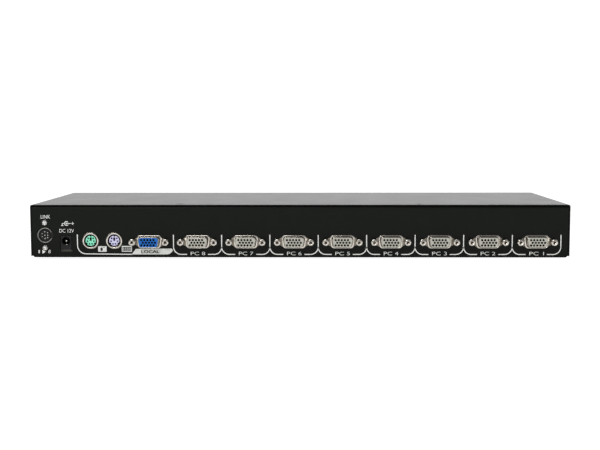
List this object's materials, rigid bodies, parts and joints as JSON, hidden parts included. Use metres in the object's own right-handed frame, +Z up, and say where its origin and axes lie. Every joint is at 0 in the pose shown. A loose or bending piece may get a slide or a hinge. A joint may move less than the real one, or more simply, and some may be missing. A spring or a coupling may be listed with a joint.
{
  "type": "kvm switch",
  "caption": "Rack-width folded steel case with a row of video sockets, keyboard and mouse sockets and a power jack behind, and a row of selector buttons in front.",
  "frame": {"origin": "middle of the footprint, in the plane that the four rubber feet stand on", "axes": "-Y out of the rear panel with the sockets, +Y out of the front panel with the buttons, +X to the right as the rear panel is faced, +Z up"},
  "size_m": [0.4048, 0.1448, 0.0417],
  "materials": {
    "powder_coat": "fine-textured black powder coat",
    "overlay": "semi-gloss printed sheet",
    "circuit_board": "solder-masked glass-fibre board",
    "lead_jacket": "vinyl",
    "light_pipe": "clear, polished",
    "black_plastic": "moulded",
    "nickel": "nickel-plated steel",
    "blue_plastic": "moulded",
    "grey_plastic": "moulded",
    "green_plastic": "moulded",
    "purple_plastic": "moulded",
    "bright_steel": "zinc-plated steel",
    "black_steel": "black oxide",
    "button_plastic": "moulded",
    "rubber": "matt"
  },
  "bodies": {
    "case": {"bank_display": "black_plastic", "base_tray": "powder_coat", "beeper": "black_plastic", "board_screw_1": "bright_steel", "board_screw_2": "bright_steel", "board_screw_3": "bright_steel", "board_screw_4": "bright_steel", "console_video_insert": "blue_plastic", "console_video_shell": "nickel", "cover_screw_left_1": "black_steel", "cover_screw_left_2": "black_steel", "cover_screw_rear_left": "black_steel", "cover_screw_rear_right": "black_steel", "cover_screw_right_1": "black_steel", "cover_screw_right_2": "black_steel", "front_board": "circuit_board", "front_overlay": "overlay", "keyboard_socket_insulator": "purple_plastic", "keyboard_socket_shield": "nickel", "light_pipe": "light_pipe", "link_lead": "lead_jacket", "link_screw_lower": "bright_steel", "link_screw_upper": "bright_steel", "link_socket_body": "black_plastic", "link_socket_shield": "nickel", "main_board": "circuit_board", "mouse_socket_insulator": "green_plastic", "mouse_socket_shield": "nickel", "pc_port_1_insert": "grey_plastic", "pc_port_1_shell": "nickel", "pc_port_2_insert": "grey_plastic", "pc_port_2_shell": "nickel", "pc_port_3_insert": "grey_plastic", "pc_port_3_shell": "nickel", "pc_port_4_insert": "grey_plastic", "pc_port_4_shell": "nickel", "pc_port_5_insert": "grey_plastic", "pc_port_5_shell": "nickel", "pc_port_6_insert": "grey_plastic", "pc_port_6_shell": "nickel", "pc_port_7_insert": "grey_plastic", "pc_port_7_shell": "nickel", "pc_port_8_insert": "grey_plastic", "pc_port_8_shell": "nickel", "power_jack_body": "black_plastic", "power_jack_pin": "bright_steel", "ribbon_cable": "lead_jacket", "rubber_foot_1": "rubber", "rubber_foot_2": "rubber", "rubber_foot_3": "rubber", "rubber_foot_4": "rubber", "top_cover": "powder_coat"},
    "button_1": {"port_button_1": "button_plastic"},
    "button_2": {"port_button_2": "button_plastic"},
    "button_3": {"port_button_3": "button_plastic"},
    "button_4": {"port_button_4": "button_plastic"},
    "button_5": {"port_button_5": "button_plastic"},
    "button_6": {"port_button_6": "button_plastic"},
    "button_7": {"port_button_7": "button_plastic"},
    "button_8": {"port_button_8": "button_plastic"}
  },
  "joints": [
    {"name": "button_1_press", "type": "slide", "parent": "case", "child": "button_1", "axis": [0, -1, 0], "range_m": [0, 0.001], "stiffness_N_per_m": 1500},
    {"name": "button_2_press", "type": "slide", "parent": "case", "child": "button_2", "axis": [0, -1, 0], "range_m": [0, 0.001], "stiffness_N_per_m": 1500},
    {"name": "button_3_press", "type": "slide", "parent": "case", "child": "button_3", "axis": [0, -1, 0], "range_m": [0, 0.001], "stiffness_N_per_m": 1500},
    {"name": "button_4_press", "type": "slide", "parent": "case", "child": "button_4", "axis": [0, -1, 0], "range_m": [0, 0.001], "stiffness_N_per_m": 1500},
    {"name": "button_5_press", "type": "slide", "parent": "case", "child": "button_5", "axis": [0, -1, 0], "range_m": [0, 0.001], "stiffness_N_per_m": 1500},
    {"name": "button_6_press", "type": "slide", "parent": "case", "child": "button_6", "axis": [0, -1, 0], "range_m": [0, 0.001], "stiffness_N_per_m": 1500},
    {"name": "button_7_press", "type": "slide", "parent": "case", "child": "button_7", "axis": [0, -1, 0], "range_m": [0, 0.001], "stiffness_N_per_m": 1500},
    {"name": "button_8_press", "type": "slide", "parent": "case", "child": "button_8", "axis": [0, -1, 0], "range_m": [0, 0.001], "stiffness_N_per_m": 1500}
  ]
}
